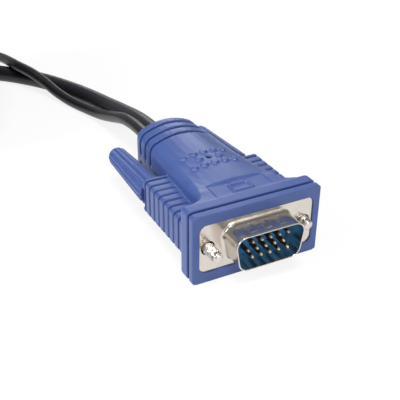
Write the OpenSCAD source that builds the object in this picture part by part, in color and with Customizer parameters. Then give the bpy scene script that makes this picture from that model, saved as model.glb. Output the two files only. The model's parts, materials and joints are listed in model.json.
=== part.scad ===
// Two-in-one cable for a keyboard, video and mouse switch. One moulded 15-way video plug carries
// a thick video cord and a thin USB cord. The far ends are a second video plug and a USB plug.
// Lengths are in millimetres and angles in degrees. X runs across the switch plug, Y runs back
// along it to the cords, and Z is up. The origin is under the middle of the switch plug, on the
// surface that it lies on.

/* [Bezel and back plate] */
// Width of the moulded bezel
bezel_w = 33.1; // [32.9:0.1:36]
// Height of the moulded bezel
bezel_h = 17.6; // [17.4:0.1:20]
// Thickness of the bezel from its front to the groove
bezel_t = 1.9; // [1.8:0.1:2.4]
// Depth of the steel flange below the bezel's front
plate_recess = 0.35; // [0.2:0.05:0.6]
// Width of the window that shows the flange
window_w = 29.4; // [28.6:0.1:29.8]
// Height of the window that shows the flange
window_h = 12.3; // [11.6:0.1:12.3]
// Corner radius of the window
window_r = 1.7; // [1:0.1:2.5]
// Width of the groove between bezel and back plate
groove_w = 0.85; // [0.5:0.05:1]
// Depth of that groove
groove_depth = 1.1; // [0.6:0.05:1.1]
// Thickness of the plate behind the groove
back_plate_t = 3.5; // [3.2:0.1:4.5]
// Corner radius of bezel and back plate
bezel_r = 0.8; // [0.4:0.1:1.2]

/* [Hood] */
// Distance from the flange to the rear end of the collar
hood_len = 49.5; // [48.5:0.5:54]
// Width of the hood's body just behind the back plate
body_front_w = 21.2; // [20.8:0.1:22]
// Width of the collar at its rear end
collar_back_w = 16.8; // [16.4:0.1:18]
// Radius of the hollow corner between back plate and body
flare_r = 3.4; // [2:0.1:4]
// How far the crown of the body stands above the back plate
crown_rise = 0.15; // [0:0.05:0.3]
// Clearance of the belly above the surface that the plug lies on
belly_lift = 0.1; // [0.05:0.05:0.5]
// Drop of the crown from the middle to its shoulders
crown_drop = 1.7; // [1:0.1:2]
// Radius of the body's shoulders
shoulder_r = 3; // [2:0.1:3.4]
// Number of slots round the flexible collar
collar_slots = 3; // [2:1:3]
// Distance from one collar slot to the next
collar_slot_pitch = 3.55; // [3:0.05:3.8]
// Width of a collar slot
collar_slot_w = 1.1; // [0.8:0.05:1.3]
// Depth of a collar slot
collar_slot_depth = 0.9; // [0.5:0.05:1]
// Height of the bridge between upper and lower slots
collar_bridge = 1.4; // [1:0.1:2]

/* [Wings] */
// Distance across the outer faces of the two ribbed wings
wings_w = 32; // [31.6:0.1:32.6]
// Height of a wing
wing_h = 8.9; // [8.6:0.1:10]
// Distance from the flange to the rear of the wings
wing_back = 27.3; // [27:0.1:29]
// Number of slots between the ribs of a wing
rib_slots = 8; // [6:1:8]
// Distance from one rib slot to the next
rib_pitch = 2.63; // [2.4:0.01:2.65]
// Width of a rib slot
rib_slot_w = 0.7; // [0.4:0.05:0.9]
// Depth of a rib slot
rib_slot_depth = 0.6; // [0.3:0.05:0.6]

/* [Grip and pictogram] */
// Diameter of a grip bump
bump_d = 1.7; // [1.4:0.1:2]
// Height of a grip bump
bump_h = 0.45; // [0.3:0.05:0.6]
// Distance between bumps across the hood
bump_pitch = 2.75; // [2.4:0.05:2.9]
// Distance between rows of bumps
bump_row_pitch = 3.05; // [2.6:0.05:3.2]
// Distance from the flange to the middle row of bumps
bump_row_y = 23.3; // [22:0.1:24.5]
// Width of the recessed panel behind the back plate
panel_w = 14.8; // [13:0.1:15]
// Length of the recessed panel
panel_len = 5.7; // [5:0.1:6]
// Depth of the recessed panel
panel_depth = 0.35; // [0.2:0.05:0.4]

/* [Video connector] */
// Width of the steel flange
flange_w = 30.8; // [30.6:0.1:31]
// Height of the steel flange
flange_h = 12.5; // [12.4:0.1:12.6]
// Thickness of each steel flange
flange_t = 0.5; // [0.4:0.05:0.5]
// Distance between the two screws
screw_spacing = 24.99; // [24.9:0.01:25.1]
// Diameter of the screw holes in the flanges
flange_hole_d = 3.4; // [3.3:0.1:3.6]
// Outer width of the shell round the contacts
shell_w = 17.5; // [17.3:0.1:17.7]
// Outer height of the shell
shell_h = 8.95; // [8.8:0.05:9.1]
// Outer corner radius of the shell
shell_r = 2.5; // [2.2:0.1:2.8]
// Reach of the shell in front of the flange
shell_reach = 6; // [5.9:0.1:6.2]
// Wall of the shell
shell_wall = 0.3; // [0.25:0.05:0.35]
// Slant of the shell's sides
shell_slant = 10; // [8:1:12]
// Diameter of a contact pin
pin_d = 0.76; // [0.7:0.02:0.8]
// Distance between pins in a row
pin_pitch = 2.29; // [2.2:0.01:2.3]
// Distance between the rows of pins
pin_row_pitch = 1.98; // [1.9:0.01:2]
// Reach of the pins in front of the flange
pin_reach = 5.1; // [4.8:0.1:5.4]

/* [Thumb screws] */
// Major diameter of the screw thread
thread_d = 2.84; // [2.8:0.01:2.88]
// Pitch of the thread
thread_pitch = 0.635; // [0.6:0.005:0.7]
// Reach of the screw in front of the flange, pushed fully forward
screw_reach = 6.1; // [5.8:0.1:6.4]
// Travel of the captive screw from front to back
screw_travel = 4; // [3.8:0.1:4]
// How far the left screw stands back from its front stop
left_draw = 1.2; // [0:0.1:3.6]
// How far the right screw stands back from its front stop
right_draw = 3.7; // [3.6:0.1:3.8]
// Droop of the loose screws, which hang a little at the rear
screw_droop = 0.9; // [0:0.1:1]
// Splay of the loose screws to the outside
screw_splay = 0.7; // [0:0.1:0.8]
// Length of the thumb knob
knob_len = 23.6; // [22:0.1:25]
// Diameter of the knob at its front
knob_front_d = 7.4; // [7:0.1:7.6]
// Diameter of the knob at its rear
knob_back_d = 5.3; // [5:0.1:6]
// Number of flutes on the knob
knob_flutes = 14; // [10:1:16]
// Depth of a flute
flute_depth = 0.35; // [0.2:0.05:0.4]

/* [Cords] */
// Diameter of the video cord
video_d = 5.5; // [5.4:0.05:5.6]
// Diameter of the USB cord
usb_d = 3.5; // [3.4:0.05:3.6]
// Radius of the folds in the video cord's hank, to the middle of the outermost turn
video_hank_r = 20.6; // [20.5:0.05:20.7]
// Radius of the folds in the USB cord's hank, to the middle of the outermost turn
usb_hank_r = 20; // [19.8:0.1:20.1]
// Length of the straight runs of both hanks
hank_run = 35; // [34.5:0.5:36]
// Gap between the turns of a hank
hank_gap = 0.5; // [0.45:0.01:0.55]

/* [USB plug] */
// Width of the USB plug's steel shell
usb_shell_w = 12; // [11.9:0.1:12.1]
// Height of the USB plug's steel shell
usb_shell_h = 4.5; // [4.4:0.1:4.6]
// Length of the USB shell in front of the grip
usb_shell_reach = 11.8; // [11.5:0.1:12]
// Width of the moulded grip
usb_grip_w = 15.6; // [15:0.1:17]
// Height of the moulded grip
usb_grip_h = 8; // [7.6:0.1:9]
// Length of the moulded grip
usb_grip_len = 24; // [23:0.5:28]
// Length of the strain relief behind the grip
usb_relief_len = 13; // [12:0.5:16]

/* [Hidden] */
$fn = 48;
// Overrun of every cut, seat of one fixed piece in another, and running play
cut = 0.5;
seat = 0.05;
play = 0.02;

// Places along the video plug, measured back from the front face of its flange
bezel_front = -plate_recess;
bezel_back = bezel_front + bezel_t;
plate_front = bezel_back + groove_w;
plate_back = plate_front + back_plate_t;
plate_edge = 0.9;
fillet_back = plate_back + flare_r;
// The rear edge of the plate is rounded in these steps: share along, share inwards
edge_shares = [[0, 0], [0.5, 0.13], [0.87, 0.5], [1, 1]];
// The rear edge of the collar is rounded by this much
collar_edge = 0.7;
// The rearmost collar slot lies this far in front of the collar's end
collar_band = 3.7;
// Stations of the body: share of its length, of the crown's drop and of the shoulder radius
station_shares = [[0, 0.1, 0.3], [0.05, 0.35, 0.53], [0.14, 0.53, 0.67], [0.27, 0.7, 0.8],
    [0.44, 0.88, 0.93], [0.6, 1, 1], [0.97, 1, 1]];
// Angles at which the hollow corner is drawn
fillet_angles = [0, 22.5, 45, 67.5];
wing_r = 0.7;
// The rearmost rib reaches this far behind the middle of its slot
last_rib = 1.2;
// Bumps stand in rows of these counts, from rear to front
bump_counts = [5, 3, 5];
bump_depth = 0.6;
grip_hole_d = 1.4;
grip_hole_depth = 1.6;
panel_margin = 0.4;
// Pictogram of a monitor
picture_w = 5.2;
picture_h = 3.1;
picture_line = 0.4;
picture_foot_w = 3.4;
picture_gap = 0.55;
picture_shift = 0.8;

// Inner pieces of the video plug, along the same axis
flange_r = 1;
shell_flare = 0.7;
flare_angles = [0, 30, 60, 90];
dimple_pitch = 3.8;
dimple_w = 1.7;
dimple_len = 3.4;
dimple_depth = 0.12;
dimple_back = 1.1;
cup_wall = 0.3;
cup_w = 19;
cup_h = 10.45;
cup_r = 3.25;
cup_back = 5;
insulator_split = 2.6;
insulator_nose = 0.2;
insulator_play = 0.06;
boss_w = 14.8;
boss_h = 6.8;
boss_back = 6.2;
boss_play = 0.5;
solder_cup_d = 1.1;
solder_bore_d = 0.8;
solder_cup_back = 8.8;
solder_bore_front = 7.4;
wire_start = 7.6;
wire_bend = 9.4;
pin_cone = 0.5;
pin_tip_share = 0.5;
shield_w = 17.6;
shield_h = 12.6;
shield_t = 0.3;
shield_front = 5.4;
shield_back = 26.2;
mould_front = 6.8;
mould_back = 25.9;
// Each side of the pocket stays this far inside the shield
pocket_side = 1.2;
pocket_w = shield_w - 2 * pocket_side;
pocket_h = 8;
// Each cord ends inside the hood at this place, in a crimped ferrule
jacket_front = 22.5;
ferrule_front = 22;
ferrule_wall = 0.2;
ferrule_len = 3.5;
video_exit_x = 2;
video_exit_z = -0.9;
usb_exit_x = -2.6;
usb_exit_z = 1.1;
video_wire_d = 0.7;
usb_wire_d = 0.6;
video_gather_share = 0.42;
usb_gather_share = 0.34;
pc_gather_share = 0.36;
// Pins left of this place are wired to the USB cord
usb_side_x = -2.4;
pin_facets = 16;

// Captive screw: retaining clip, its chamber behind the flange, groove, shank and knob
screw_root_d = 2.24;
dog_len = 1.3;
dog_d = 2.3;
dog_chamfer = 0.3;
thread_crest = 0.2;
thread_flank = 0.12;
thread_rings = 6;
clip_d = 4.3;
clip_t = 0.6;
clip_play = 0.05;
clip_gap = 0.2;
clip_slot_w = 1.3;
clip_groove_d = 1.9;
clip_front = 2 * flange_t + clip_gap;
clip_back = clip_front + clip_t;
chamber_d = 5.1;
chamber_back = clip_back + screw_travel + clip_gap;
shank_d = 2.4;
shank_bore_d = 4;
knob_gap = 0.3;
knob_front = wing_back + knob_gap;
knob_end = knob_front + knob_len;
knob_chamfer = 0.4;
knob_nose = 1.2;
knob_bore_len = 17;
knob_clear = 0.35;
flute_d = 1.1;
// How far the far plug's screws stand back from their front stops
pc_left_draw = 0.6;
pc_right_draw = 2.5;

// USB plug, measured back from the front of its shell
usb_shell_t = 0.3;
usb_shell_r = 0.5;
usb_shell_depth = 7;
usb_shell_back = usb_shell_reach + usb_shell_depth;
usb_tongue_w = 11.1;
usb_tongue_t = 1.8;
usb_tongue_front = 0.6;
usb_contact_w = 1;
usb_contact_t = 0.25;
usb_contact_front = 1.2;
usb_contact_xs = [-3.5, -1, 1, 3.5];
usb_window_w = 2.5;
usb_window_len = 2;
usb_window_x = 2.7;
usb_window_front = 5.1;
usb_core_w = 10;
usb_core_h = 5;
usb_core_back = 29.8;
usb_core_bore_w = 8.4;
usb_core_bore_h = 3;
usb_wire_gather_share = 0.35;
usb_grip_r = 1.6;
usb_grip_edge = 0.5;
usb_grip_taper = 1.1;
usb_grip_taper_len = 6;
usb_relief_front_d = 6.2;
usb_relief_back_d = 4.6;
usb_relief_rings = 4;
usb_relief_pitch = 2.4;
usb_relief_first = 2.2;
usb_relief_ring_w = 0.9;
usb_relief_ring_depth = 0.4;

// Everything lies on the surface: heights of the axes and place of the switch plug
axis_z = bezel_h / 2;
crown_top = axis_z + crown_rise;
belly_low = axis_z - belly_lift;
usb_axis_z = usb_grip_h / 2;
switch_y = (shell_reach - knob_end - max(left_draw, right_draw)) / 2;

// Cords. The routes are points on the cords' middle lines, from inside a plug to the hank or from there
video_route = [
    [2, 12, 7.9], [2, 25, 7.9], [2.1, 37, 7.7], [2.2, 48, 6.8], [1.8, 59, 5.1], [0.9, 70, 3.4],
    [-1.6, 81, 2.8], [-6, 92, 2.8], [-11.5, 102.5, 2.8], [-18.5, 111.8, 2.8], [-26.5, 120.5, 2.8],
    [-33, 126.6, 4.6], [-39.9, 131.4, 7.6], [-47, 134.3, 10.3]
];
usb_route = [
    [-2.6, 7, 9.9], [-2.6, 16, 9.9], [-2.6, 25, 9.9], [-2.5, 33, 9.9], [-2.2, 41, 9.3],
    [-2.3, 49, 8], [-2.7, 57.5, 5.3], [-3.4, 66, 2.9], [-5.2, 74.5, 1.9], [-7.6, 82.5, 1.8],
    [-10.1, 89.5, 2.9], [-12.4, 96, 4.8], [-15.4, 101.5, 6.9], [-18.3, 108, 7.7], [-19.2, 116, 6.9],
    [-20, 124, 5.7], [-21.4, 129.3, 4.8], [-25.2, 133.2, 3.8], [-30.6, 135, 2.7],
    [-36.5, 135.2, 1.9], [-43, 134.9, 1.8], [-49.5, 134.5, 2.2]
];
video_tail_route = [
    [-66.4, 98, 23.8], [-66.4, 88, 24.9], [-66.4, 78.7, 26.4], [-65.1, 73.6, 28], [-61.4, 70, 29.7],
    [-56.3, 68.6, 31.3], [-51.3, 70, 32.9], [-47.7, 73.6, 34.3], [-46.4, 77.8, 35.1],
    [-46.3, 81.2, 35.2], [-46.3, 90, 35.2], [-46.3, 98, 35.2]
];
usb_tail_route = [
    [-76.2, 98, 6.8], [-76.2, 88, 6.8], [-76.2, 78, 6.8], [-76.1, 70, 6.5], [-75.5, 62.5, 5.9],
    [-73.8, 55, 5], [-72.2, 49, 4.2], [-71.7, 43, 4], [-71.7, 34, 4]
];
// Hanks: middle of both, then the ring of a turn where the cord joins and leaves, whole turns and
// layers. Rings 0 to 11 make the far fold and 12 to 23 the near one
hank_x = -56.2;
hank_y = 96.15;
video_hank_first = 6;
video_hank_last = 11;
video_hank_turns = 5;
video_hank_layers = 3;
usb_hank_first = 6;
usb_hank_last = 11;
usb_hank_turns = 6;
usb_hank_layers = 2;
hank_rings = 24;
hank_sides = 6;
cord_sides = 8;
// A cord climbs from layer to layer within this share of a turn
climb_share = 0.5;
// Tie round the right-hand runs of both hanks. It has this distance to them, and its sides stand
// this far from the hanks' middle
tie_t = 0.7;
tie_w = 3;
tie_r = 2;
tie_gap = 0.15;
tie_y = 81.2;
tie_inside = 7.1;
tie_outside = 22.1;
hank_over = 0.3;
usb_hank_lift = tie_t + 2 * tie_gap;
usb_hank_h = (usb_hank_layers - 1) * (usb_d + hank_gap) + usb_d;
video_hank_lift = usb_hank_lift + usb_hank_h + hank_over;
video_hank_h = (video_hank_layers - 1) * (video_d + hank_gap) + video_d;
hank_top = video_hank_lift + video_hank_h;
// The computer's video plug lies on the hanks and points backwards. Its USB plug lies before them
pc_x = -46.3;
pc_y = 132.5;
pc_over = 0.1;
pc_z = hank_top + pc_over + axis_z;
usb_grip_back = usb_shell_reach + usb_grip_len;
usb_plug_len = usb_grip_back + usb_relief_len;
usb_plug_x = -71.7;
usb_plug_back = 44;
usb_plug_y = usb_plug_back - usb_plug_len;

// Colours
blue = [0.24, 0.32, 0.62];
insulator_blue = [0.13, 0.45, 0.72];
nickel = [0.75, 0.73, 0.68];
gold = [0.85, 0.7, 0.4];
copper = [0.72, 0.45, 0.3];
milky = [0.9, 0.9, 0.86];
black = [0.1, 0.1, 0.11];
white = [0.93, 0.93, 0.93];

// Closed surface through rings of points. Each ring runs counter-clockwise for one who looks
// from the first ring towards the last
module skin(rings) {
    n = len(rings);
    m = len(rings[0]);
    first_cap = [[for (j = [m - 1:-1:0]) j]];
    last_cap = [[for (j = [0:m - 1]) (n - 1) * m + j]];
    sides = [for (i = [0:n - 2], j = [0:m - 1])
        let (a = i * m + j, b = i * m + (j + 1) % m) each [[a, b, b + m], [a, b + m, a + m]]];
    polyhedron(points = [for (r = rings) each r], faces = concat(first_cap, sides, last_cap));
}

// Extrudes a flat outline, drawn across and up, from one place along the plug to another
module along(y0, y1) {
    translate([0, y1, 0]) rotate([90, 0, 0]) linear_extrude(y1 - y0) children();
}

// A box about the plug's axis, between two places along it
module block(w, h, y0, y1) {
    translate([-w / 2, y0, -h / 2]) cube([w, y1 - y0, h]);
}

// A round bar on the plug's axis, between two places along it
module bar(d, y0, y1) {
    translate([0, y0, 0]) rotate([-90, 0, 0]) cylinder(d = d, h = y1 - y0);
}

// Outline of a box with round corners
function round_box(w, h, r, steps = 4) =
    [for (c = [[1, 1, 0], [-1, 1, 90], [-1, -1, 180], [1, -1, 270]], k = [0:steps])
        let (a = c[2] + 90 * k / steps)
        [c[0] * (w / 2 - r) + r * cos(a), c[1] * (h / 2 - r) + r * sin(a)]];

// Points on the other side of the plug's middle, in reverse order
function mirrored(points) = [for (k = [len(points) - 1:-1:0]) [-points[k].x, points[k].y]];

// Outline of the connector shell: wide side up, slanted sides
function d_outline(w, h, r, steps = 5) =
    let (top = [w / 2 - r, h / 2 - r],
        low = [top.x - (h - 2 * r) * tan(shell_slant), r - h / 2],
        corner = [for (k = [0:steps]) let (a = (90 + shell_slant) * k / steps - shell_slant)
            top + r * [cos(a), sin(a)]],
        low_corner = [for (k = [0:steps]) let (a = (90 - shell_slant) * k / steps - 90)
            low + r * [cos(a), sin(a)]])
    concat(corner, mirrored(corner), mirrored(low_corner), low_corner);

// Points of an outline as a ring at one place along the plug
function ring_at(outline, y) = [for (p = outline) [p.x, y, p.y]];

// Half width of the crown between its shoulders, and slope at the shoulder
function crown_slope(half, drop, r) = atan(2 * drop / (half - r));
function crown_half(half, drop, r) = half - r + r * sin(crown_slope(half, drop, r));

// A quarter of the hood's section, from the middle of its side up to the middle of its crown
function crown_quarter(half, top, drop, r, steps = 4) =
    let (slope = crown_slope(half, drop, r),
        edge = crown_half(half, drop, r),
        centre = [half - r, top - drop - r * cos(slope)])
    concat([for (k = [0:steps]) let (a = (90 - slope) * k / steps) centre + r * [cos(a), sin(a)]],
        [for (k = [1:steps]) let (u = 1 - k / steps) [edge * u, top - drop * u * u]]);

// A whole section of the hood, with its crown above and its belly below
function hood_outline(half, top, belly, drop, r) =
    let (up = crown_quarter(half, top, drop, r),
        down = crown_quarter(half, belly, drop, r),
        last = len(up) - 1)
    concat(up,
        [for (k = [last - 1:-1:0]) [-up[k].x, up[k].y]],
        [for (k = [0:last]) [-down[k].x, -down[k].y]],
        [for (k = [last - 1:-1:0]) [down[k].x, -down[k].y]]);

// Width, crown and shoulders of the body at a place along the plug
function body_share(y) = (y - fillet_back) / (hood_len - fillet_back);
function body_half(y) = (body_front_w + (collar_back_w - body_front_w) * body_share(y)) / 2;
function drop_at(y) = crown_drop * lookup(body_share(y), [for (s = station_shares) [s[0], s[1]]]);
function shoulder_at(y) = shoulder_r * lookup(body_share(y), [for (s = station_shares) [s[0], s[2]]]);
function crown_edge(y) = crown_half(body_half(y), drop_at(y), shoulder_at(y));

// Section of the body at a place along the plug, drawn in by a depth
function body_outline(y, inset, rise = crown_rise) =
    hood_outline(body_half(y) - inset, axis_z + rise - inset, belly_low - inset, drop_at(y),
        shoulder_at(y) - inset);

// Sections through the hollow corner behind the plate
function fillet_ring(a) = ring_at(hood_outline(body_front_w / 2 + flare_r * (1 - sin(a)), axis_z,
    belly_low, drop_at(fillet_back), shoulder_at(fillet_back)), plate_back + flare_r * (1 - cos(a)));

// Upper and lower half of a slot round the collar
module collar_slot(y) {
    reach = collar_slot_w / 2;
    difference() {
        for (side = [-1, 1]) {
            translate([0, 0, side * (axis_z + collar_bridge) / 2])
                block(body_front_w, axis_z, y - reach, y + reach);
        }
        along(y - collar_slot_w, y + collar_slot_w) polygon(body_outline(y, collar_slot_depth));
    }
}

// Core and ribs of both wings
module wings() {
    first_slot = wing_back - last_rib;
    front = plate_back - plate_edge;
    along(front, first_slot)
        polygon(round_box(wings_w - 2 * rib_slot_depth, wing_h - 2 * rib_slot_depth, wing_r));
    for (k = [0:rib_slots]) {
        rib_back = k == 0 ? wing_back : first_slot - rib_pitch * (k - 1) - rib_slot_w / 2;
        rib_front = k == rib_slots ? front : first_slot - rib_pitch * k + rib_slot_w / 2;
        along(rib_front, rib_back) polygon(round_box(wings_w, wing_h, wing_r));
    }
}

// Grip bumps on the crown, in three rows, without the one in the middle
module bumps() {
    for (row = [0:len(bump_counts) - 1]) {
        y = bump_row_y + (1 - row) * bump_row_pitch;
        side = (bump_counts[row] - 1) / 2;
        for (k = [-side:side]) {
            x = k * bump_pitch;
            share = x / crown_edge(y);
            if (row != 1 || k != 0) {
                translate([x, y, crown_top - drop_at(y) * share * share])
                    rotate([0, atan(2 * drop_at(y) * share / crown_edge(y)), 0])
                    translate([0, 0, -bump_depth]) cylinder(d = bump_d, h = bump_h + bump_depth);
            }
        }
    }
}

// Raised outline of a monitor on its foot, in the recessed panel
module pictogram() {
    translate([0, plate_back + panel_len / 2 - picture_shift, axis_z - panel_depth - cut])
        linear_extrude(cut + panel_depth) {
            difference() {
                square([picture_w, picture_h], center = true);
                square([picture_w - 2 * picture_line, picture_h - 2 * picture_line], center = true);
            }
            translate([0, picture_h / 2 + picture_gap])
                square([picture_foot_w, picture_line], center = true);
        }
}

// Places children on the axis of a loose screw, drawn back from its front stop
module screw_frame(side, draw) {
    translate([side * screw_spacing / 2, 0, 0])
        rotate([-screw_droop, 0, -side * screw_splay]) translate([0, draw, 0]) children();
}

// Hollow beside the wing's rear in which a knob turns and slides
module knob_hollow(side) {
    slope = (knob_front_d - knob_back_d) / knob_len;
    grow = 2 * knob_clear;
    screw_frame(side, 0) {
        bar(knob_front_d + grow, wing_back - cut, knob_front + screw_travel);
        translate([0, knob_front + screw_travel - cut, 0]) rotate([-90, 0, 0])
            cylinder(d1 = knob_front_d + grow + slope * cut, d2 = knob_back_d + grow, h = knob_len + cut);
    }
}

// Moulded hood. The cords leave it through bores given as [x, z, diameter]
module hood(bores) {
    color(blue) {
        difference() {
            union() {
                along(bezel_front, bezel_back) polygon(round_box(bezel_w, bezel_h, bezel_r));
                along(bezel_back - cut, plate_front + cut)
                    polygon(round_box(bezel_w - 2 * groove_depth, bezel_h - 2 * groove_depth, bezel_r));
                along(plate_front, plate_back - plate_edge) polygon(round_box(bezel_w, bezel_h, bezel_r));
                skin([for (s = edge_shares) let (inset = plate_edge * s[1])
                    ring_at(round_box(bezel_w - 2 * inset, bezel_h - 2 * inset, bezel_r),
                        plate_back - plate_edge * (1 - s[0]))]);
                skin(concat(
                    [ring_at(hood_outline(body_front_w / 2 + flare_r, axis_z, belly_low,
                        drop_at(fillet_back), shoulder_at(fillet_back)), plate_back - plate_edge)],
                    [for (a = fillet_angles) fillet_ring(a)],
                    [for (s = station_shares) let (y = fillet_back + (hood_len - fillet_back) * s[0])
                        ring_at(body_outline(y, 0, s[0] > 0 ? crown_rise : 0), y)],
                    [ring_at(body_outline(hood_len, collar_edge), hood_len)]));
                difference() {
                    wings();
                    for (side = [-1, 1]) {
                        knob_hollow(side);
                    }
                }
                bumps();
            }
            along(bezel_front - cut, cut) polygon(round_box(window_w, window_h, window_r));
            block(flange_w + 2 * seat, flange_h + 2 * seat, 0, 2 * flange_t);
            along(0, cup_back + seat) polygon(d_outline(cup_w + 2 * seat,
                cup_h + 2 * seat, cup_r));
            block(boss_w + 2 * boss_play, boss_h + 2 * boss_play, 0, shield_front + cut);
            block(shield_w, shield_h, shield_front, shield_back);
            for (b = bores) {
                translate([b[0], 0, b[1]]) bar(b[2] + 2 * seat, shield_back - cut, hood_len + cut);
            }
            for (side = [-1, 1]) {
                translate([side * screw_spacing / 2, 0, 0]) bar(chamber_d, flange_t, chamber_back);
                translate([side * screw_spacing / 2, 0, 0]) bar(shank_bore_d, flange_t, wing_back + cut);
                knob_hollow(side);
            }
            for (k = [0:collar_slots - 1]) {
                collar_slot(hood_len - collar_band - k * collar_slot_pitch);
            }
            translate([-panel_w / 2, plate_back - panel_margin, axis_z - panel_depth])
                cube([panel_w, panel_len, cut + panel_depth]);
            translate([0, bump_row_y, crown_top - grip_hole_depth])
                cylinder(d = grip_hole_d, h = grip_hole_depth + cut);
        }
        pictogram();
    }
}

// Steel flange plate with its two screw holes
module flange(y0) {
    difference() {
        along(y0, y0 + flange_t) polygon(round_box(flange_w, flange_h, flange_r));
        for (side = [-1, 1]) {
            translate([side * screw_spacing / 2, 0, 0])
                bar(flange_hole_d, y0 - cut, y0 + flange_t + cut);
        }
    }
}

// Front shell: flange and the D-shaped wall round the pins
module front_shell() {
    color(nickel) difference() {
        union() {
            flange(0);
            along(-shell_reach, flange_t / 2) polygon(d_outline(shell_w, shell_h, shell_r));
            skin([for (a = flare_angles) let (grow = shell_flare * (1 - cos(a)))
                ring_at(d_outline(shell_w + 2 * grow, shell_h + 2 * grow, shell_r + grow),
                    -shell_flare * (1 - sin(a)))]);
        }
        along(-shell_reach - cut, flange_t + cut) polygon(d_outline(shell_w - 2 * shell_wall,
            shell_h - 2 * shell_wall, shell_r - shell_wall));
        for (k = [-1:1], side = [-1, 1]) {
            translate([k * dimple_pitch, -dimple_back, side * shell_h / 2])
                block(dimple_w, 2 * dimple_depth, -dimple_len, 0);
        }
    }
}

// Rear shell: second flange and the cup that holds the insulators
module rear_shell() {
    color(nickel) difference() {
        union() {
            flange(flange_t);
            along(flange_t, cup_back) polygon(d_outline(cup_w, cup_h,
                cup_r));
        }
        along(flange_t - cut, cup_back + cut) polygon(d_outline(cup_w - 2 * cup_wall,
            cup_h - 2 * cup_wall, cup_r - cup_wall));
    }
}

// Places of the fifteen pins, in three rows of five: the middle row is shifted to the left
pin_places = [for (row = [-1:1], k = [-2:2])
    [(k + (row == 0 ? -0.25 : 0.25)) * pin_pitch, row * pin_row_pitch]];
usb_pins = [for (p = pin_places) if (p[0] < usb_side_x) p];
video_pins = [for (p = pin_places) if (p[0] >= usb_side_x) p];

module pin_holes() {
    for (p = pin_places) {
        translate([p[0], 0, p[1]]) bar(pin_d + 2 * play, -cut - insulator_nose, boss_back + cut);
    }
}

// Insulator round the pins' front, seen at the bottom of the shell
module front_insulator() {
    trim = 2 * (shell_wall + insulator_play);
    cup_trim = 2 * (cup_wall + insulator_play);
    color(insulator_blue) difference() {
        union() {
            along(-insulator_nose, insulator_split)
                polygon(d_outline(shell_w - trim, shell_h - trim, shell_r - trim / 2));
            along(flange_t, insulator_split) polygon(d_outline(cup_w - cup_trim,
                cup_h - cup_trim, cup_r - cup_trim / 2));
        }
        pin_holes();
    }
}

// Insulator round the pins' rear, with a boss behind the cup
module rear_insulator() {
    trim = 2 * (cup_wall + insulator_play);
    color(insulator_blue) difference() {
        union() {
            along(insulator_split, cup_back) polygon(d_outline(cup_w - trim,
                cup_h - trim, cup_r - trim / 2));
            block(boss_w, boss_h, insulator_split, boss_back);
        }
        pin_holes();
    }
}

// Fifteen pins with solder cups
module contact_pins() {
    r = pin_d / 2;
    cup = solder_cup_d / 2;
    bore = solder_bore_d / 2;
    outline = [[0, -pin_reach], [r * pin_tip_share, -pin_reach], [r, pin_cone - pin_reach],
        [r, boss_back], [cup, boss_back], [cup, solder_cup_back], [bore, solder_cup_back],
        [bore, solder_bore_front], [0, solder_bore_front]];
    color(gold) for (p = pin_places) {
        translate([p[0], 0, p[1]]) rotate([-90, 0, 0]) rotate_extrude($fn = pin_facets) polygon(outline);
    }
}

// Wires from the solder cups to a cord, gathered about the cord's middle
module wires(pins, x, z, d, gather_share) {
    middle = [for (axis = [0, 1]) [for (p = pins) 1] * [for (p = pins) p[axis]] / len(pins)];
    color(copper) for (p = pins) {
        bend = [p[0], wire_bend, p[1]];
        gathered = [x + (p[0] - middle[0]) * gather_share, jacket_front,
            z + (p[1] - middle[1]) * gather_share];
        cord([[p[0], wire_start, p[1]], bend, gathered], [0, 1, 0], [0, 1, 0], d, cord_sides);
    }
}

// Half of the shield box, above or below the plug's middle
module shield_half(side) {
    color(nickel) difference() {
        block(shield_w, shield_h, shield_front, shield_back);
        block(shield_w - 2 * shield_t, shield_h - 2 * shield_t, shield_front - cut, shield_back + cut);
        translate([0, 0, -side * shield_h / 2])
            block(shield_w + cut, shield_h, shield_front - cut, shield_back + cut);
    }
}

// Milky block moulded round the wires, with a pocket for them
module inner_mould() {
    trim = 2 * (shield_t + seat);
    color(milky) difference() {
        block(shield_w - trim, shield_h - trim, mould_front, mould_back);
        block(pocket_w, pocket_h, mould_front - cut, mould_back + cut);
    }
}

// Crimped tube round a cord's end
module ferrule(x, z, d) {
    color(nickel) translate([x, 0, z]) difference() {
        bar(d + 2 * ferrule_wall, ferrule_front, ferrule_front + ferrule_len);
        bar(d, ferrule_front - cut, ferrule_front + ferrule_len + cut);
    }
}

// Screw with its dog point, ringed thread, clip groove and long shank
module screw() {
    tip = -screw_reach;
    thread_start = tip + dog_len;
    thread_end = thread_start + thread_rings * thread_pitch;
    root = screw_root_d / 2;
    groove = clip_groove_d / 2;
    shank = shank_d / 2;
    outline = concat([[0, tip], [dog_d / 2 - dog_chamfer, tip], [dog_d / 2, tip + dog_chamfer],
            [dog_d / 2, thread_start]],
        [for (k = [0:thread_rings - 1]) let (s = thread_start + k * thread_pitch)
            each [[root, s], [thread_d / 2, s + thread_flank],
                [thread_d / 2, s + thread_flank + thread_crest], [root, s + 2 * thread_flank + thread_crest]]],
        [[root, thread_end], [shank, thread_end], [shank, clip_front - clip_play],
            [groove, clip_front - clip_play], [groove, clip_back + clip_play],
            [shank, clip_back + clip_play], [shank, knob_front + knob_bore_len],
            [0, knob_front + knob_bore_len]]);
    color(nickel) rotate([-90, 0, 0]) rotate_extrude() polygon(outline);
}

// Open ring that snaps into the screw's groove and keeps the screw in the hood
module clip() {
    color(nickel) difference() {
        bar(clip_d, clip_front, clip_back);
        bar(clip_groove_d + 2 * clip_play, clip_front - cut, clip_back + cut);
        translate([0, 0, -clip_d / 2]) block(clip_slot_w, clip_d, clip_front - cut, clip_back + cut);
    }
}

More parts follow.
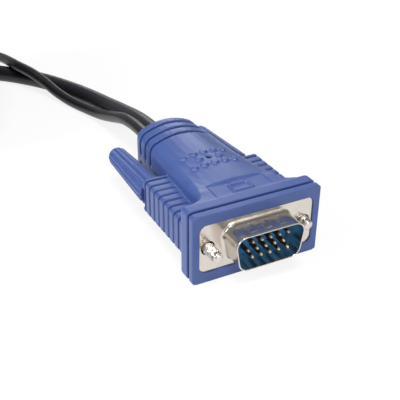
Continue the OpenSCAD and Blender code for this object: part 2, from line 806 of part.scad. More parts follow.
// Tapered thumb knob with flutes and a rounded rear end
module knob() {
    front = knob_front_d / 2;
    back = knob_back_d / 2;
    lean = atan((front - back) / knob_len);
    outline = [[0, knob_front], [front - knob_chamfer, knob_front], [front, knob_front + knob_chamfer],
        [back, knob_end - knob_nose], [back - knob_nose / 3, knob_end - knob_nose / 4],
        [back - 2 * knob_nose / 3, knob_end], [0, knob_end]];
    color(blue) difference() {
        rotate([-90, 0, 0]) rotate_extrude() polygon(outline);
        bar(shank_d + 2 * play, knob_front - cut, knob_front + knob_bore_len + play);
        for (k = [0:knob_flutes - 1]) {
            rotate([0, 360 * k / knob_flutes, 0])
                translate([0, knob_front, front + flute_d / 2 - flute_depth]) rotate([-lean, 0, 0])
                bar(flute_d, -cut, knob_len + cut);
        }
    }
}

// Steel shell of the USB plug, with its four windows
module usb_plug_shell() {
    color(nickel) difference() {
        along(0, usb_shell_back) polygon(round_box(usb_shell_w, usb_shell_h, usb_shell_r));
        along(-cut, usb_shell_back + cut) polygon(round_box(usb_shell_w - 2 * usb_shell_t,
            usb_shell_h - 2 * usb_shell_t, usb_shell_r - usb_shell_t));
        for (side = [-1, 1]) {
            translate([side * usb_window_x, 0, 0])
                block(usb_window_w, usb_shell_h + cut, usb_window_front, usb_window_front + usb_window_len);
        }
    }
}

tongue_bottom = seat + usb_shell_t - usb_shell_h / 2;
tongue_top = tongue_bottom + usb_tongue_t;

// Plastic tongue that carries the contacts
module usb_plug_tongue() {
    color(white) translate([0, 0, (tongue_bottom + tongue_top) / 2])
        block(usb_tongue_w, usb_tongue_t, usb_tongue_front, usb_shell_back);
}

// Four flat contacts on the tongue
module usb_plug_contacts() {
    color(gold) for (x = usb_contact_xs) {
        translate([x, 0, tongue_top + usb_contact_t / 2])
            block(usb_contact_w, usb_contact_t, usb_contact_front, usb_shell_back);
    }
}

// Milky block behind the shell, hollow for the wires
module usb_plug_core() {
    color(milky) difference() {
        block(usb_core_w, usb_core_h, usb_shell_back, usb_core_back);
        block(usb_core_bore_w, usb_core_bore_h, usb_shell_back - cut, usb_core_back + cut);
    }
}

// Four wires from the contacts to the cord
module usb_plug_wires() {
    contact_z = tongue_top + usb_contact_t / 2;
    color(copper) for (x = usb_contact_xs) {
        bend = [x, usb_shell_back + usb_wire_d, contact_z];
        gathered = [x * usb_wire_gather_share, usb_core_back, 0];
        cord([[x, usb_shell_back, contact_z], bend, gathered], [0, 1, 0], [0, 1, 0], usb_wire_d, cord_sides);
    }
}

// Moulded grip of the USB plug with its ringed strain relief
module usb_plug_grip() {
    small_w = usb_grip_w - 2 * usb_grip_taper;
    small_h = usb_grip_h - 2 * usb_grip_taper;
    color(black) difference() {
        union() {
            skin([ring_at(round_box(usb_grip_w - 2 * usb_grip_edge, usb_grip_h - 2 * usb_grip_edge,
                    usb_grip_r - usb_grip_edge), usb_shell_reach),
                ring_at(round_box(usb_grip_w, usb_grip_h, usb_grip_r), usb_shell_reach + usb_grip_edge),
                ring_at(round_box(usb_grip_w, usb_grip_h, usb_grip_r), usb_grip_back - usb_grip_taper_len),
                ring_at(round_box(small_w, small_h, usb_grip_r), usb_grip_back - usb_grip_edge),
                ring_at(round_box(small_w - 2 * usb_grip_edge, small_h - 2 * usb_grip_edge,
                    usb_grip_r - usb_grip_edge), usb_grip_back)]);
            difference() {
                translate([0, usb_grip_back - cut, 0]) rotate([-90, 0, 0])
                    cylinder(d1 = usb_relief_front_d, d2 = usb_relief_back_d, h = usb_relief_len + cut);
                for (k = [0:usb_relief_rings - 1]) {
                    y = usb_grip_back + usb_relief_first + k * usb_relief_pitch;
                    difference() {
                        bar(usb_relief_front_d + cut, y, y + usb_relief_ring_w);
                        bar(usb_relief_back_d - usb_relief_ring_depth, y - cut, y + usb_relief_ring_w + cut);
                    }
                }
            }
        }
        along(usb_shell_reach - cut, usb_shell_back) polygon(round_box(usb_shell_w + 2 * seat,
            usb_shell_h + 2 * seat, usb_shell_r + seat));
        block(usb_core_w + 2 * seat, usb_core_h + 2 * seat, usb_shell_back - cut, usb_core_back);
        bar(usb_d + 2 * seat, usb_core_back - cut, usb_plug_len + cut);
    }
}

// Cords are tubes swept along a path. Each ring stands square to the path at its point
function unit(v) = v / norm(v);
function cord_ring(p, v, r, sides) =
    let (side = unit(cross(v, [0, 0, 1])), upward = cross(side, v))
    [for (k = [0:sides - 1]) let (a = 90 + 360 * k / sides) p + r * (cos(a) * side + sin(a) * upward)];
module cord(path, first, last, d, sides) {
    n = len(path) - 1;
    skin([for (k = [0:n])
        let (v = k == 0 ? first : k == n ? last : unit(path[k + 1] - path[k - 1]))
        cord_ring(path[k], v, d / 2, sides)]);
}

// A hank is given as [outer radius of its folds, first ring, turns, layers, cord diameter, lift]
function hank_turns(whole, first, last) = whole + (last - first) / hank_rings;
function hank_pitch(c) = c[4] + hank_gap;
// How many turns' widths the cord lies inside the hank's rim after t turns
function hank_in(c, t) = let (run = c[2] / c[3], left = t % (2 * run)) min(left, 2 * run - left);
function hank_radius(c, t) = c[0] - hank_pitch(c) * hank_in(c, t);
// Layers that the cord has climbed after t turns
function hank_climb(c, t) = let (run = c[2] / c[3], steps = [for (k = [1:c[3] - 1])
    min(1, max(0, (t - k * run) / climb_share + 0.5))]) [for (s = steps) 1] * steps;
function hank_height(c, t) = c[4] / 2 + c[5] + hank_pitch(c) * hank_climb(c, t);
// Each half of a turn is a fold, 0 the far one and 1 the near one, and then a straight run
half_rings = hank_rings / 2;
fold_rings = half_rings - 1;
function hank_ring(c, t) = (c[1] + hank_rings * t) % hank_rings;
function hank_half(ring) = floor(ring / half_rings);
function hank_angle(ring) = let (half = hank_half(ring))
    180 * (half + min(1, (ring - half * half_rings) / fold_rings));
function hank_shift(ring) = let (half = hank_half(ring), on_run = max(0, ring - half * half_rings - fold_rings))
    hank_run / 2 * (half == 0 ? 1 - 2 * on_run : 2 * on_run - 1);
function hank_point(c, t) = let (ring = hank_ring(c, t), a = hank_angle(ring), r = hank_radius(c, t))
    [hank_x + r * cos(a), hank_y + hank_shift(ring) + r * sin(a), hank_height(c, t)];
// Direction of the cord where it joins the hank or leaves it
function hank_heading(c, t) = let (a = hank_angle(hank_ring(c, t))) [-sin(a), cos(a), 0];
// The cord runs straight for its own diameter before and after the hank
function hank_entry(c) = hank_point(c, 0) - c[4] * hank_heading(c, 0);
function hank_exit(c) = hank_point(c, c[2]) + c[4] * hank_heading(c, c[2]);
function hank_path(c) = let (steps = round(c[2] * hank_rings))
    concat([hank_entry(c)], [for (k = [0:steps]) hank_point(c, k / hank_rings)], [hank_exit(c)]);

video_winding = [video_hank_r, video_hank_first, hank_turns(video_hank_turns, video_hank_first,
    video_hank_last), video_hank_layers, video_d, video_hank_lift];
usb_winding = [usb_hank_r, usb_hank_first, hank_turns(usb_hank_turns, usb_hank_first,
    usb_hank_last), usb_hank_layers, usb_d, usb_hank_lift];

// Stretch of a cord folded into a hank. Prints the least gap of the tube to itself
module hank(c) {
    path = hank_path(c);
    gap = min([for (i = [0:len(path) - half_rings - 1], j = [i + half_rings:len(path) - 1])
        norm(path[i] - path[j])]) - c[4];
    echo("least gap of the hank to itself", gap);
    color(black) cord(path, hank_heading(c, 0), hank_heading(c, c[2]), c[4], hank_sides);
}

// Flat strip of black plastic round the right-hand runs
module hank_tie() {
    w = tie_outside - tie_inside;
    h = hank_top - usb_hank_lift + 2 * tie_gap;
    color(black) translate([hank_x + (tie_inside + tie_outside) / 2, 0, (hank_top + usb_hank_lift) / 2])
        difference() {
            along(tie_y - tie_w / 2, tie_y + tie_w / 2)
                polygon(round_box(w + 2 * tie_t, h + 2 * tie_t, tie_r + tie_t));
            along(tie_y - tie_w, tie_y + tie_w) polygon(round_box(w, h, tie_r));
        }
}

// Free stretches of the cords, each from inside a plug to its hank or the other way
module free_cord(start, route, end, first, last, d) {
    color(black) cord(concat([start], route, [end]), first, last, d, cord_sides);
}

module at_switch() {
    translate([0, switch_y, axis_z]) children();
}

module at_pc() {
    translate([pc_x, pc_y, pc_z]) rotate([0, 0, 180]) children();
}

module at_usb() {
    translate([usb_plug_x, usb_plug_y, usb_axis_z]) children();
}

video_bore = [video_exit_x, video_exit_z, video_d];
usb_bore = [usb_exit_x, usb_exit_z, usb_d];

at_switch() hood([video_bore, usb_bore]);  // switch_hood
at_switch() front_shell();  // switch_front_shell
at_switch() rear_shell();  // switch_rear_shell
at_switch() front_insulator();  // switch_front_insulator
at_switch() rear_insulator();  // switch_rear_insulator
at_switch() contact_pins();  // switch_contact_pins
at_switch() inner_mould();  // switch_inner_mould
at_switch() shield_half(1);  // switch_shield_top
at_switch() shield_half(-1);  // switch_shield_bottom
at_switch()  // switch_video_wires
    wires(video_pins, video_exit_x, video_exit_z, video_wire_d, video_gather_share);
at_switch()  // switch_usb_wires
    wires(usb_pins, usb_exit_x, usb_exit_z, usb_wire_d, usb_gather_share);
at_switch()  // switch_video_ferrule
    ferrule(video_exit_x, video_exit_z, video_d);
at_switch() ferrule(usb_exit_x, usb_exit_z, usb_d);  // switch_usb_ferrule
at_switch() screw_frame(-1, left_draw) clip();  // switch_left_clip
at_switch() screw_frame(-1, left_draw) screw();  // switch_left_screw
at_switch() screw_frame(-1, left_draw) knob();  // switch_left_knob
at_switch() screw_frame(1, right_draw) clip();  // switch_right_clip
at_switch() screw_frame(1, right_draw) screw();  // switch_right_screw
at_switch() screw_frame(1, right_draw) knob();  // switch_right_knob
at_pc() hood([[0, 0, video_d]]);  // pc_hood
at_pc() front_shell();  // pc_front_shell
at_pc() rear_shell();  // pc_rear_shell
at_pc() front_insulator();  // pc_front_insulator
at_pc() rear_insulator();  // pc_rear_insulator
at_pc() contact_pins();  // pc_contact_pins
at_pc() inner_mould();  // pc_inner_mould
at_pc() shield_half(1);  // pc_shield_top
at_pc() shield_half(-1);  // pc_shield_bottom
at_pc()  // pc_wires
    wires(pin_places, 0, 0, video_wire_d, pc_gather_share);
at_pc() ferrule(0, 0, video_d);  // pc_ferrule
at_pc() screw_frame(-1, pc_left_draw) clip();  // pc_left_clip
at_pc() screw_frame(-1, pc_left_draw) screw();  // pc_left_screw
at_pc() screw_frame(-1, pc_left_draw) knob();  // pc_left_knob
at_pc() screw_frame(1, pc_right_draw) clip();  // pc_right_clip
at_pc() screw_frame(1, pc_right_draw) screw();  // pc_right_screw
at_pc() screw_frame(1, pc_right_draw) knob();  // pc_right_knob
at_usb() usb_plug_shell();  // usb_shell
at_usb() usb_plug_tongue();  // usb_tongue
at_usb() usb_plug_contacts();  // usb_contacts
at_usb() usb_plug_core();  // usb_core
at_usb() usb_plug_wires();  // usb_wires
at_usb() usb_plug_grip();  // usb_grip
free_cord([video_exit_x, switch_y + jacket_front, axis_z + video_exit_z], video_route,  // video_cable
        hank_entry(video_winding), [0, 1, 0], hank_heading(video_winding, 0), video_d);
hank(video_winding);  // video_hank
free_cord(hank_exit(video_winding), video_tail_route, [pc_x, pc_y - jacket_front, pc_z],  // video_tail
        hank_heading(video_winding, video_winding[2]), [0, 1, 0], video_d);
free_cord([usb_exit_x, switch_y + jacket_front, axis_z + usb_exit_z], usb_route,  // usb_cable
        hank_entry(usb_winding), [0, 1, 0], hank_heading(usb_winding, 0), usb_d);
hank(usb_winding);  // usb_hank
free_cord(hank_exit(usb_winding), usb_tail_route, [usb_plug_x, usb_plug_y + usb_core_back, usb_axis_z],  // usb_tail
        hank_heading(usb_winding, usb_winding[2]), [0, -1, 0], usb_d);
hank_tie();
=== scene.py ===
"""Looks of a two-in-one cable for a keyboard, video and mouse switch."""

import json
import math

import bpy
from mathutils import Matrix, Vector


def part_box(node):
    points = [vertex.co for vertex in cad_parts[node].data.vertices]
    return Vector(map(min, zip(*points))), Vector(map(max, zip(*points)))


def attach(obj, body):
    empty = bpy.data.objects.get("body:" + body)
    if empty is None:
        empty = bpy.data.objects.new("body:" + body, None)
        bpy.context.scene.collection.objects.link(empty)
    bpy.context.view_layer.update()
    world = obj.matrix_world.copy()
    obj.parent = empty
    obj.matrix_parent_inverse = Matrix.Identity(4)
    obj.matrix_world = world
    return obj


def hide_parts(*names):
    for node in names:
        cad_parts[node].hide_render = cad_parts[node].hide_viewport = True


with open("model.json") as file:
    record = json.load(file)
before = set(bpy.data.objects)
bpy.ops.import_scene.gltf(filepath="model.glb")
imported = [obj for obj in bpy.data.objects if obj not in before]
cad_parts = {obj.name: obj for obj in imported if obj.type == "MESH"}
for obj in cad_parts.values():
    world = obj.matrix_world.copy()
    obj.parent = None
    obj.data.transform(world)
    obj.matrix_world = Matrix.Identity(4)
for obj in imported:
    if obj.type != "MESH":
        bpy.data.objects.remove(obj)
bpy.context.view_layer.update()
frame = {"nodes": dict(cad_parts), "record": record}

MM = 0.001

# Sizes of the plug that the frame's boxes don't give, in millimetres
FLANGE_T = 0.5
VIDEO_D = 5.5
USB_D = 3.5
JACKET_FRONT = 22.5


def plug_origin(rear_shell, facing):
    """Middle of the front face of a video plug's flange, in metres."""
    low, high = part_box(rear_shell)
    middle = (low + high) / 2
    front = low.y if facing < 0 else high.y
    return Vector((middle.x, front + facing * FLANGE_T * MM, middle.z))


switch_origin = plug_origin("switch_rear_shell", -1)
pc_origin = plug_origin("pc_rear_shell", 1)

# Camera, fitted to the flange's corners, the screws and the pins of the photograph
IMAGE_W = 400
FOCAL_PX = 746.0
FLANGE_PX = (257.04, 234.2)
AZIMUTH = math.radians(-27.654)
ELEVATION = math.radians(30.63)
ROLL = math.radians(0.433)
DISTANCE = 168.569 * MM
SENSOR = 36.0


def make_camera():
    """Stands the camera where the photographer's stood."""
    sin_a, cos_a = math.sin(AZIMUTH), math.cos(AZIMUTH)
    back = Vector((sin_a * math.cos(ELEVATION), -cos_a * math.cos(ELEVATION), math.sin(ELEVATION)))
    level = Vector((cos_a, sin_a, 0))
    upright = back.cross(level)
    right = math.cos(ROLL) * level + math.sin(ROLL) * upright
    up = math.cos(ROLL) * upright - math.sin(ROLL) * level
    shift = DISTANCE / FOCAL_PX
    across = (FLANGE_PX[0] - IMAGE_W / 2) * shift
    below = (FLANGE_PX[1] - IMAGE_W / 2) * shift
    place = switch_origin + DISTANCE * back - across * right + below * up
    turn = Matrix((right, up, back)).transposed().to_4x4()
    bpy.ops.object.camera_add()
    camera = bpy.context.object
    camera.matrix_world = Matrix.Translation(place) @ turn
    camera.data.sensor_width = SENSOR
    camera.data.lens = FOCAL_PX * SENSOR / IMAGE_W
    camera.data.clip_start = 0.01
    camera.data.clip_end = 10
    bpy.context.scene.camera = camera


make_camera()

# Cords. The routes are the CAD model's, in millimetres
VIDEO_EXIT = Vector((2, 0, -0.9))
USB_EXIT = Vector((-2.6, 0, 1.1))
VIDEO_ROUTE = [
    (2, 12, 7.9), (2, 25, 7.9), (2.1, 37, 7.7), (2.2, 48, 6.8), (1.8, 59, 5.1), (0.9, 70, 3.4),
    (-1.6, 81, 2.8), (-6, 92, 2.8), (-11.5, 102.5, 2.8), (-18.5, 111.8, 2.8), (-26.5, 120.5, 2.8),
    (-33, 126.6, 4.6), (-39.9, 131.4, 7.6), (-47, 134.3, 10.3),
]
USB_ROUTE = [
    (-2.6, 7, 9.9), (-2.6, 16, 9.9), (-2.6, 25, 9.9), (-2.5, 33, 9.9), (-2.2, 41, 9.3),
    (-2.3, 49, 8), (-2.7, 57.5, 5.3), (-3.4, 66, 2.9), (-5.2, 74.5, 1.9), (-7.6, 82.5, 1.8),
    (-10.1, 89.5, 2.9), (-12.4, 96, 4.8), (-15.4, 101.5, 6.9), (-18.3, 108, 7.7),
    (-19.2, 116, 6.9), (-20, 124, 5.7), (-21.4, 129.3, 4.8), (-25.2, 133.2, 3.8),
    (-30.6, 135, 2.7), (-36.5, 135.2, 1.9), (-43, 134.9, 1.8), (-49.5, 134.5, 2.2),
]
VIDEO_TAIL_ROUTE = [
    (-66.4, 98, 23.8), (-66.4, 88, 24.9), (-66.4, 78.7, 26.4), (-65.1, 73.6, 28),
    (-61.4, 70, 29.7), (-56.3, 68.6, 31.3), (-51.3, 70, 32.9), (-47.7, 73.6, 34.3),
    (-46.4, 77.8, 35.1), (-46.3, 81.2, 35.2), (-46.3, 90, 35.2), (-46.3, 98, 35.2),
]
USB_TAIL_ROUTE = [
    (-76.2, 98, 6.8), (-76.2, 88, 6.8), (-76.2, 78, 6.8), (-76.1, 70, 6.5), (-75.5, 62.5, 5.9),
    (-73.8, 55, 5), (-72.2, 49, 4.2), (-71.7, 43, 4), (-71.7, 34, 4),
]
USB_CORD_INSIDE = 29.8

# Hanks: their middle, the straight run between the two folds, the gap between turns, the rings
# in a turn, and the share of a turn in which the cord climbs to the next layer
HANK_X = -56.2
HANK_Y = 96.15
HANK_RUN = 35
HANK_GAP = 0.5
HANK_RINGS = 24
CLIMB_SHARE = 0.5
# The first ring lies in the far fold and the last one ends it, five rings on from whole turns.
# The radius is the outermost fold's, and the lift is the height of the underside
HANK_FIRST = 6
HANK_EXTRA = 5 / HANK_RINGS
USB_HANK = {"radius": 20, "turns": 6 + HANK_EXTRA, "layers": 2, "lift": 1.0}
VIDEO_HANK = {"radius": 20.6, "turns": 5 + HANK_EXTRA, "layers": 3, "lift": 8.8}


def hank_ring(hank, ring, diameter):
    """Middle of the cord and its direction at one ring of a hank."""
    half = HANK_RINGS // 2
    pitch = diameter + HANK_GAP
    t = ring / HANK_RINGS
    run = hank["turns"] / hank["layers"]
    left = t % (2 * run)
    radius = hank["radius"] - pitch * min(left, 2 * run - left)
    climbed = sum(
        min(1, max(0, (t - j * run) / CLIMB_SHARE + 0.5)) for j in range(1, hank["layers"])
    )
    fold, step = divmod((HANK_FIRST + ring) % HANK_RINGS, half)
    a = math.pi * (fold + step / (half - 1))
    shift = HANK_RUN / 2 * (1 - 2 * fold)
    height = diameter / 2 + hank["lift"] + pitch * climbed
    middle = Vector((HANK_X + radius * math.cos(a), HANK_Y + shift + radius * math.sin(a), height))
    return middle, Vector((-math.sin(a), math.cos(a), 0))


def hank_points(hank, diameter):
    """Points along a hank, with one diameter of straight cord before and after it."""
    rings = [hank_ring(hank, k, diameter) for k in range(round(hank["turns"] * HANK_RINGS) + 1)]
    points = [middle for middle, heading in rings]
    return (
        [points[0] - diameter * rings[0][1]] + points + [points[-1] + diameter * rings[-1][1]]
    )


# Fineness of the cords, across and between two points
CORD_ROUNDNESS = 6
CORD_STEPS = 4


def cord_curve(name, points, diameter):
    """A round cord as a smooth curve through points in millimetres.

    Each point's radius scales the bevel and widens the curve's box, so it is one millimetre.
    """
    data = bpy.data.curves.new(name, "CURVE")
    data.dimensions = "3D"
    data.bevel_depth = diameter / 2
    data.bevel_resolution = CORD_ROUNDNESS
    data.resolution_u = CORD_STEPS
    data.use_fill_caps = True
    spline = data.splines.new("BEZIER")
    spline.bezier_points.add(len(points) - 1)
    for k, point in enumerate(points):
        before = points[max(k - 1, 0)]
        after = points[min(k + 1, len(points) - 1)]
        heading = (after - before).normalized()
        knot = spline.bezier_points[k]
        knot.handle_left_type = knot.handle_right_type = "FREE"
        knot.co = point * MM
        knot.radius = MM
        knot.handle_left = (point - heading * (point - before).length / 3) * MM
        knot.handle_right = (point + heading * (after - point).length / 3) * MM
    spline.use_smooth = True
    piece = bpy.data.objects.new(name, data)
    bpy.context.scene.collection.objects.link(piece)
    return piece


def route_length(points):
    """Length of a route in metres."""
    return sum((b - a).length for a, b in zip(points, points[1:])) * MM


def vectors(points):
    """Points as vectors."""
    return [Vector(p) for p in points]


switch_mm = switch_origin / MM
pc_mm = pc_origin / MM
usb_low, usb_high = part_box("usb_shell")
usb_middle = (usb_low + usb_high) / 2
usb_plug_front = Vector((usb_middle.x, usb_low.y, usb_middle.z)) / MM

video_points = (
    [switch_mm + VIDEO_EXIT + Vector((0, JACKET_FRONT, 0))] + vectors(VIDEO_ROUTE)
    + hank_points(VIDEO_HANK, VIDEO_D) + vectors(VIDEO_TAIL_ROUTE)
    + [pc_mm - Vector((0, JACKET_FRONT, 0))]
)
usb_points = (
    [switch_mm + USB_EXIT + Vector((0, JACKET_FRONT, 0))] + vectors(USB_ROUTE)
    + hank_points(USB_HANK, USB_D) + vectors(USB_TAIL_ROUTE)
    + [usb_plug_front + Vector((0, USB_CORD_INSIDE, 0))]
)
video_cord = cord_curve("video_cord", video_points, VIDEO_D)
usb_cord = cord_curve("usb_cord", usb_points, USB_D)
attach(video_cord, "cable")
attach(usb_cord, "cable")
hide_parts("video_cable", "video_hank", "video_tail")
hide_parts("usb_cable", "usb_hank", "usb_tail")

# Arithmetic on the outputs of shader nodes, so that a finish reads as a formula


class Signal:
    """One output of a finish's nodes. Sums and products of values add their Math nodes."""

    def __init__(self, finish, socket):
        self.finish = finish
        self.socket = socket

    def math(self, operation, *values):
        numbered = dict(enumerate(values))
        return self.finish.node("ShaderNodeMath", {"operation": operation}, numbered)

    def __add__(self, other):
        return self.math("ADD", self, other)

    __radd__ = __add__

    def __sub__(self, other):
        return self.math("SUBTRACT", self, other)

    def __rsub__(self, other):
        return self.math("SUBTRACT", other, self)

    def __mul__(self, other):
        return self.math("MULTIPLY", self, other)

    def over(self, edge):
        """1 where this is more than the edge, else 0."""
        return self.math("GREATER_THAN", self, edge)

    def between(self, low, high):
        """Rises smoothly from 0 at low to 1 at high."""
        return self.finish.node(
            "ShaderNodeMapRange", {"interpolation_type": "SMOOTHSTEP"},
            {"Value": self, "From Min": low, "From Max": high},
        )


# Sockets of a Mix node that blends colours: factor, first colour and second colour
MIX_COLOR_INPUTS = (0, 6, 7)
MIX_COLOR_OUTPUT = 2


class Finish:
    """A material with one Principled shader and short methods that add nodes to it."""

    def __init__(self, name, color, roughness, **plain):
        self.material = bpy.data.materials.new(name)
        self.material.use_nodes = True
        self.nodes = self.material.node_tree.nodes
        self.links = self.material.node_tree.links
        self.shader = self.nodes["Principled BSDF"]
        self.set("Base Color", (*color, 1))
        self.set("Roughness", roughness)
        for key, value in plain.items():
            self.set(key.replace("_", " ").title().replace("Ior", "IOR"), value)

    def set(self, key, value):
        self.feed(self.shader.inputs[key], value)

    def feed(self, socket, value):
        """Links a signal to a socket, or sets a constant on it."""
        if isinstance(value, Signal):
            self.links.new(value.socket, socket)
        else:
            socket.default_value = value

    def node(self, kind, settings=None, values=None, output=0):
        """Adds a node with its settings and inputs, and gives one of its outputs."""
        made = self.nodes.new(kind)
        for key, value in (settings or {}).items():
            setattr(made, key, value)
        for key, value in (values or {}).items():
            self.feed(made.inputs[key], value)
        return Signal(self, made.outputs[output])

    def place(self):
        return self.node("ShaderNodeTexCoord", output="Object")

    def axes(self):
        """X, Y and Z in metres, each a value."""
        split = self.nodes.new("ShaderNodeSeparateXYZ")
        self.feed(split.inputs[0], self.place())
        return [Signal(self, out) for out in split.outputs]

    def noise(self, scale, detail=2.0, place=None):
        return self.node(
            "ShaderNodeTexNoise", {},
            {"Vector": place or self.place(), "Scale": scale, "Detail": detail},
        )

    def stretched(self, scales):
        """Object coordinates scaled along each axis."""
        return self.node(
            "ShaderNodeVectorMath", {"operation": "MULTIPLY"}, {0: self.place(), 1: scales}
        )

    def blend(self, amount, first, second):
        """A colour between two others."""
        made = self.nodes.new("ShaderNodeMix")
        made.data_type = "RGBA"
        for key, value in zip(MIX_COLOR_INPUTS, (amount, first, second)):
            self.feed(made.inputs[key], value)
        return Signal(self, made.outputs[MIX_COLOR_OUTPUT])

    def bump(self, height, distance, strength):
        self.set("Normal", self.node(
            "ShaderNodeBump", {}, {"Height": height, "Distance": distance, "Strength": strength}
        ))


def moulded_plastic(name, color, pale, roughness):
    """Fine-grained PVC, a little uneven in colour and gloss, with specks of dust."""
    finish = Finish(name, color, roughness, specular_ior_level=0.5)
    mottle = finish.noise(scale=180.0, detail=3.0).between(low=0.35, high=0.75)
    specks = finish.noise(scale=2600.0, detail=1.0).between(low=0.7, high=0.8)
    tone = finish.blend(mottle * 0.25, (*color, 1), (*pale, 1))
    finish.set("Base Color", finish.blend(specks * 0.3, tone, (*pale, 1)))
    finish.set("Roughness", roughness - 0.04 + finish.noise(scale=900.0) * 0.1)
    grain = finish.noise(scale=4200.0) + finish.noise(scale=700.0) * 0.5
    finish.bump(grain, distance=0.03 * MM, strength=0.5)
    return finish.material


# Scales of the scratches, finer across the plug than along it, and the length of a pin's bright
# tip, behind which the pin is painted dark as shade
SCRATCH_SCALES = (2500, 600, 2500)
UNSHADED_TIP_LEN = 0.5 * MM


def plated_metal(name, color, roughness, wear):
    """Plated metal with faint stains and scratches."""
    finish = Finish(name, color, roughness, metallic=1.0)
    stains = finish.noise(scale=260.0, detail=4.0).between(low=0.4, high=0.8)
    darker = tuple(c * 0.85 for c in color)
    finish.set("Base Color", finish.blend(stains * 0.4, (*color, 1), (*darker, 1)))
    lines = finish.noise(scale=1.0, place=finish.stretched(SCRATCH_SCALES))
    finish.set("Roughness", roughness + stains * 0.06 + lines * 0.05)
    finish.bump(lines, distance=0.004 * MM, strength=wear)
    return finish.material


def pin_metal(name, tip, shaft_painted_shade, roughness):
    """Gold metal for the video plugs' pins, bright at their tips and painted dark behind them as
    shade inside the plug.
    """
    finish = Finish(name, tip, roughness, metallic=1.0)
    y = finish.axes()[1]
    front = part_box("switch_contact_pins")[0].y + UNSHADED_TIP_LEN
    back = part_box("pc_contact_pins")[1].y - UNSHADED_TIP_LEN
    # 1 on each pin's tip, 0 behind it, where painted shade darkens the gold
    unshaded_tip = 1 - (y.over(front) - y.over(back))
    finish.set("Base Color", finish.blend(unshaded_tip, (*shaft_painted_shade, 1), (*tip, 1)))
    return finish.material


def smooth_plastic(name, color, roughness, **plain):
    """Plain plastic with a little unevenness in its gloss."""
    finish = Finish(name, color, roughness, **plain)
    finish.set("Roughness", roughness + finish.noise(scale=1500.0) * 0.05)
    return finish.material


def cord_jacket(name, color, roughness):
    """Extruded PVC: smooth, with faint waves along it and dust."""
    finish = Finish(name, color, roughness, specular_ior_level=0.4)
    dust = finish.noise(scale=1800.0).between(low=0.68, high=0.8)
    paler = tuple(c * 3 for c in color)
    finish.set("Base Color", finish.blend(dust * 0.35, (*color, 1), (*paler, 1)))
    finish.set("Roughness", roughness + finish.noise(scale=500.0) * 0.08)
    waves = finish.noise(scale=90.0) + finish.noise(scale=2500.0) * 0.08
    finish.bump(waves, distance=0.12 * MM, strength=0.35)
    return finish.material


# Colours used twice or too long for their line
BLUE = (0.042, 0.078, 0.25)
PALE_BLUE = (0.08, 0.12, 0.31)
BLACK = (0.02, 0.02, 0.022)
DUSTY_BLACK = (0.05, 0.05, 0.055)
GOLD = (0.9, 0.7, 0.45)
# Painted shade: the dark colour given to the pins behind their tips, inside the plug
PIN_SHAFT_PAINTED_SHADE = (0.14, 0.11, 0.09)

# One finish for each material slot of the record
finishes = {
    "hood": moulded_plastic("hood_blue", BLUE, PALE_BLUE, roughness=0.33),
    "insulator": smooth_plastic(
        "insulator_blue", (0.03, 0.21, 0.48), roughness=0.35, specular_ior_level=0.3
    ),
    "screw": plated_metal("screw_nickel", (0.72, 0.68, 0.63), roughness=0.26, wear=0.0),
    "spring_steel": plated_metal("spring_steel", (0.5, 0.49, 0.47), roughness=0.3, wear=0.1),
    "shell": plated_metal("shell_nickel", (0.7, 0.65, 0.59), roughness=0.18, wear=0.05),
    # Gold pins with painted shade behind their tips
    "contacts": pin_metal("contact_gold_painted_shade", GOLD, PIN_SHAFT_PAINTED_SHADE, roughness=0.3),
    "wires": plated_metal("wire_copper", (0.7, 0.35, 0.2), roughness=0.3, wear=0.2),
    "inner_mould": smooth_plastic("milky_plastic", (0.75, 0.75, 0.7), roughness=0.45),
    "tongue": smooth_plastic("white_plastic", (0.8, 0.8, 0.78), roughness=0.35),
    "grip": moulded_plastic("grip_black", BLACK, DUSTY_BLACK, roughness=0.42),
    "video_cord": cord_jacket("video_jacket", (0.013, 0.0115, 0.016), roughness=0.32),
    "usb_cord": cord_jacket("usb_jacket", (0.012, 0.0108, 0.0145), roughness=0.28),
}


def dress(piece, slot):
    """Gives a piece its finish."""
    piece.data.materials.clear()
    piece.data.materials.append(finishes[slot])


slots = {part["node"]: part["material_slot"] for part in frame["record"]["subparts"]}
for node, piece in frame["nodes"].items():
    dress(piece, slots[node])
dress(video_cord, "video_cord")
dress(usb_cord, "usb_cord")

# Pieces made from merged copies of CAD solids, with the soft edges of moulded and plated parts
bodies = {n: b for b, ns in frame["record"]["behaviour"]["bodies"].items() for n in ns}
MERGE_WITHIN = 0.001 * MM
ROUND_ANGLE = math.radians(35)


def only(piece):
    """Selects one piece and makes it active."""
    bpy.ops.object.select_all(action="DESELECT")
    piece.select_set(True)
    bpy.context.view_layer.objects.active = piece


def merged_copy(node):
    """A copy of a CAD solid with its triangles joined at their corners."""
    piece = bpy.data.objects.new(node + "_surface", frame["nodes"][node].data.copy())
    bpy.context.scene.collection.objects.link(piece)
    only(piece)
    bpy.ops.object.mode_set(mode="EDIT")
    bpy.ops.mesh.select_all(action="SELECT")
    bpy.ops.mesh.remove_doubles(threshold=MERGE_WITHIN)
    bpy.ops.mesh.normals_make_consistent(inside=False)
    bpy.ops.object.mode_set(mode="OBJECT")
    return piece


def apply(piece, kind, **settings):
    """Adds a modifier and applies it."""
    only(piece)
    modifier = piece.modifiers.new(kind.lower(), kind)
    for key, value in settings.items():
        setattr(modifier, key, value)
    bpy.ops.object.modifier_apply(modifier=modifier.name)


def stand_for(piece, node):
    """Puts a finished piece in its node's place on its body, hides the node and gives the piece
    the node's finish.
    """
    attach(piece, bodies[node])
    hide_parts(node)
    dress(piece, slots[node])


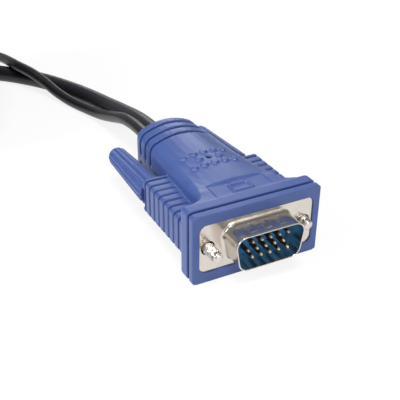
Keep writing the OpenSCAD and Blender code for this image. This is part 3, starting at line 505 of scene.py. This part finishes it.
def moulded(node, grain, passes, keep):
    """Shows a copy whose edges are rounded as in a mould.

    It is rebuilt on a grid of this grain in millimetres, relaxed in some passes and thinned to
    the share of its triangles that is kept.
    """
    piece = merged_copy(node)
    apply(piece, "REMESH", mode="VOXEL", voxel_size=grain * MM, adaptivity=0.0)
    apply(piece, "SMOOTH", factor=0.5, iterations=passes)
    apply(piece, "DECIMATE", ratio=keep)
    bpy.ops.object.shade_smooth()
    stand_for(piece, node)


def turned(node):
    """Shows a copy whose round faces are shaded smooth."""
    piece = merged_copy(node)
    bpy.ops.object.shade_smooth_by_angle(angle=ROUND_ANGLE)
    stand_for(piece, node)


for node in ("switch_hood", "pc_hood"):
    moulded(node, grain=0.2, passes=3, keep=0.45)
for node in [n for n in frame["nodes"] if n.endswith("_knob")]:
    moulded(node, grain=0.12, passes=2, keep=0.6)
for node in [n for n in frame["nodes"] if n.endswith(("_screw", "_pins"))]:
    turned(node)
for node in ("switch_front_shell", "pc_front_shell"):
    moulded(node, grain=0.09, passes=2, keep=0.35)
moulded("usb_shell", grain=0.1, passes=2, keep=0.4)
moulded("usb_grip", grain=0.15, passes=3, keep=0.6)

# Lengths of the two cords' routes, worked out and left unused
route_length(video_points)
route_length(usb_points)

# Stage: pale floor, white surroundings and soft lamps. Lengths here are in metres
FLOOR_SIZE = 0.72
FLOOR_WHITE = (0.88, 0.88, 0.88)
FLOOR_GLOW = 0.85
WORLD_LIGHT = 0.32
WHITE = (1, 1, 1, 1)
PLUG_MIDDLE = (0, 0, 0.008)

# Place, side of the square and power in watts of each lamp
LAMPS = {
    "top_softbox": ((-0.1, -0.25, 0.85), 0.35, 6),
    "back_softbox": ((0.35, 0.8, 0.35), 0.3, 0.8),
    "left_softbox": ((-0.75, 0.05, 0.45), 0.35, 5.5),
    "front_softbox": ((0.2, -0.8, 0.25), 0.3, 1.5),
}


def make_floor():
    """A plain floor, nearly white where the camera sees it, that keeps a faint shadow."""
    bpy.ops.mesh.primitive_plane_add(size=FLOOR_SIZE, location=(0, 0, 0))
    floor = bpy.context.object
    floor.name = "floor"
    finish = Finish("floor_white", FLOOR_WHITE, roughness=0.9, specular_ior_level=0.0)
    rays = finish.nodes.new("ShaderNodeLightPath")
    camera_ray, glossy_ray = (
        Signal(finish, rays.outputs[kind]) for kind in ("Is Camera Ray", "Is Glossy Ray")
    )
    share = (camera_ray + glossy_ray) * FLOOR_GLOW
    glow = finish.node("ShaderNodeEmission", {}, {"Color": WHITE, "Strength": 1.0})
    plain = Signal(finish, finish.shader.outputs[0])
    mixed = finish.node("ShaderNodeMixShader", {}, {0: share, 1: plain, 2: glow})
    finish.feed(finish.nodes["Material Output"].inputs["Surface"], mixed)
    floor.data.materials.append(finish.material)


def make_world():
    """Even surroundings: white where the camera sees them, dimmer as a light."""
    world = bpy.data.worlds.new("surroundings")
    bpy.context.scene.world = world
    world.use_nodes = True
    nodes = world.node_tree.nodes
    links = world.node_tree.links
    rays = nodes.new("ShaderNodeLightPath")
    background = nodes["Background"]
    background.inputs["Color"].default_value = WHITE
    span = nodes.new("ShaderNodeMapRange")
    links.new(rays.outputs["Is Camera Ray"], span.inputs["Value"])
    span.inputs["To Min"].default_value = WORLD_LIGHT
    span.inputs["To Max"].default_value = 1.0
    links.new(span.outputs[0], background.inputs["Strength"])


def add_softbox(name, place, size, power):
    """A square lamp that faces the plug."""
    bpy.ops.object.light_add(type="AREA", location=place)
    lamp = bpy.context.object
    lamp.name = name
    lamp.data.shape = "SQUARE"
    lamp.data.size = size
    lamp.data.energy = power
    facing = Vector(PLUG_MIDDLE) - Vector(place)
    lamp.rotation_euler = facing.to_track_quat("-Z", "Y").to_euler()


make_floor()
make_world()
for name, (place, size, power) in LAMPS.items():
    add_softbox(name, place, size, power)

bpy.context.scene.view_settings.view_transform = "Standard"
